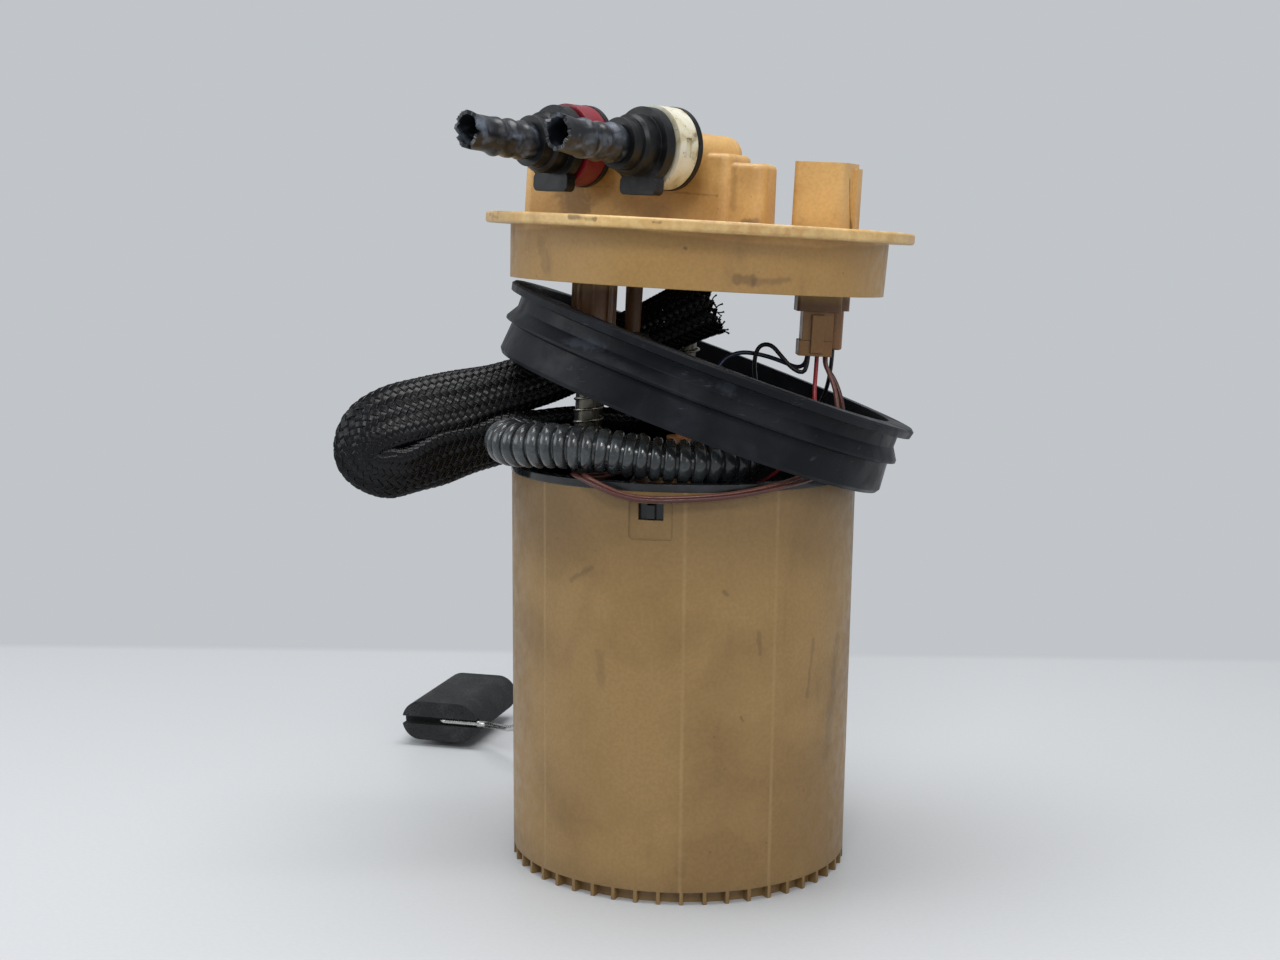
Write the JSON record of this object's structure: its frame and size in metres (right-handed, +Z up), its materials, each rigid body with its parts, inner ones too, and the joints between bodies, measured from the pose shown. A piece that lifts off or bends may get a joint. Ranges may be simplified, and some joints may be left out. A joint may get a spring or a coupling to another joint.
{
  "type": "in-tank fuel pump module",
  "caption": "Fuel pump module: reservoir cup with pump, level float on a wire arm, sprung flanged cap with quick connectors and plug shroud, tank seal, hoses, wires and sleeve.",
  "frame": {"origin": "centre of the reservoir's foot, on the tank floor or table that the module stands on", "axes": "+Z up along the reservoir's axis to the cap; +Y towards the level sender's side; +X to the right as seen with the sender behind"},
  "size_m": [0.1934, 0.2469, 0.2508],
  "materials": {
    "acetal": "aged cream acetal, satin, stained by fuel",
    "acetal_inner": "amber acetal, satin",
    "black_plastic": "black moulded polyamide, half gloss",
    "braid": "braided black monofilament sleeve",
    "brass": "tinned brass",
    "ceramic": "ceramic card",
    "ferrite": "sintered ferrite",
    "filter": "woven filter cloth",
    "foam": "closed-cell dark grey foam",
    "hose": "corrugated grey-black polyamide",
    "iron": "laminated iron and copper windings",
    "red_plastic": "dark red moulded plastic",
    "rubber": "dull black rubber",
    "steel": "bright steel",
    "tube": "black polyamide tube",
    "white_plastic": "off-white moulded plastic, soiled",
    "wire_black": "insulated lead",
    "wire_blue": "insulated lead",
    "wire_brown": "insulated lead",
    "wire_red": "insulated lead",
    "zinc": "zinc-plated sheet"
  },
  "bodies": {
    "reservoir": {"reservoir_cup": "acetal", "base_strainer": "acetal", "carrier": "black_plastic", "pump_can": "zinc", "pump_inlet_cap": "black_plastic", "pump_outlet_cap": "black_plastic", "motor_magnets": "ferrite", "pump_retainer": "acetal_inner", "pump_plug": "black_plastic", "suction_filter": "filter", "pump_foot": "rubber", "jet_pump": "acetal_inner", "sender_housing": "acetal", "sender_card": "ceramic", "front_spring": "steel", "rear_spring": "steel", "supply_hose": "hose", "return_hose": "tube", "braided_sleeve": "braid", "wire_red": "wire_red", "wire_brown": "wire_brown", "wire_maroon": "wire_brown", "wire_black": "wire_black", "wire_blue": "wire_blue", "wire_sender": "wire_black"},
    "cap": {"cap": "acetal", "terminal_pins": "brass", "harness_plug": "acetal", "sender_plug": "acetal", "front_guide_rod": "steel", "rear_guide_rod": "steel"},
    "seal": {"tank_seal": "rubber"},
    "front_coupling": {"front_connector": "black_plastic", "front_tube_stub": "tube"},
    "rear_coupling": {"rear_connector": "black_plastic", "rear_tube_stub": "tube"},
    "front_collar": {"front_release_collar": "white_plastic"},
    "rear_collar": {"rear_release_collar": "red_plastic"},
    "float_lever": {"float_arm": "steel", "level_float": "foam", "sender_hub": "white_plastic", "sender_wiper": "brass"},
    "rotor": {"armature": "iron", "impeller": "black_plastic", "rotor_shaft": "steel"},
    "flap": {"inlet_flap": "rubber"},
    "valve": {"outlet_valve": "brass"}
  },
  "joints": [
    {"name": "cap_slide", "type": "slide", "parent": "reservoir", "child": "cap", "axis": [-0.0426, 0, -0.9991], "range_m": [0, 0.025], "stiffness_N_per_m": 600, "springref_m": -0.02, "deforming": ["front_spring", "rear_spring", "supply_hose", "return_hose", "braided_sleeve", "wire_red", "wire_brown", "wire_maroon", "wire_black", "wire_blue", "wire_sender"]},
    {"name": "seal_tilt", "type": "hinge", "parent": "cap", "child": "seal", "pos_m": [-0.0572, 0, 0.1941], "axis": [0, -1, 0], "range_deg": [0, 17]},
    {"name": "front_connector_swivel", "type": "hinge", "parent": "cap", "child": "front_coupling", "pos_m": [-0.0095, -0.022, 0.23651], "axis": [-0.7065, -0.7071, 0.0301], "continuous": true},
    {"name": "rear_connector_swivel", "type": "hinge", "parent": "cap", "child": "rear_coupling", "pos_m": [-0.03776, -0.00786, 0.23771], "axis": [-0.7065, -0.7071, 0.0301], "continuous": true},
    {"name": "front_release_slide", "type": "slide", "parent": "front_coupling", "child": "front_collar", "axis": [-0.7065, -0.7071, 0.0301], "range_m": [0, 0.0012], "stiffness_N_per_m": 400, "springref_m": -0.002},
    {"name": "rear_release_slide", "type": "slide", "parent": "rear_coupling", "child": "rear_collar", "axis": [-0.7065, -0.7071, 0.0301], "range_m": [0, 0.0012], "stiffness_N_per_m": 400, "springref_m": -0.002},
    {"name": "float_lift", "type": "hinge", "parent": "reservoir", "child": "float_lever", "pos_m": [0.01747, 0.07006, 0.078], "axis": [0.2419, 0.9703, 0], "range_deg": [0, 80]},
    {"name": "pump_spin", "type": "hinge", "parent": "reservoir", "child": "rotor", "pos_m": [0.001, -0.004, 0.06], "axis": [0, 0, 1], "continuous": true},
    {"name": "inlet_flap_lift", "type": "slide", "parent": "reservoir", "child": "flap", "axis": [0, 0, 1], "range_m": [0, 0.0014]},
    {"name": "outlet_valve_lift", "type": "slide", "parent": "reservoir", "child": "valve", "axis": [0, 0, 1], "range_m": [0, 0.0015]}
  ]
}
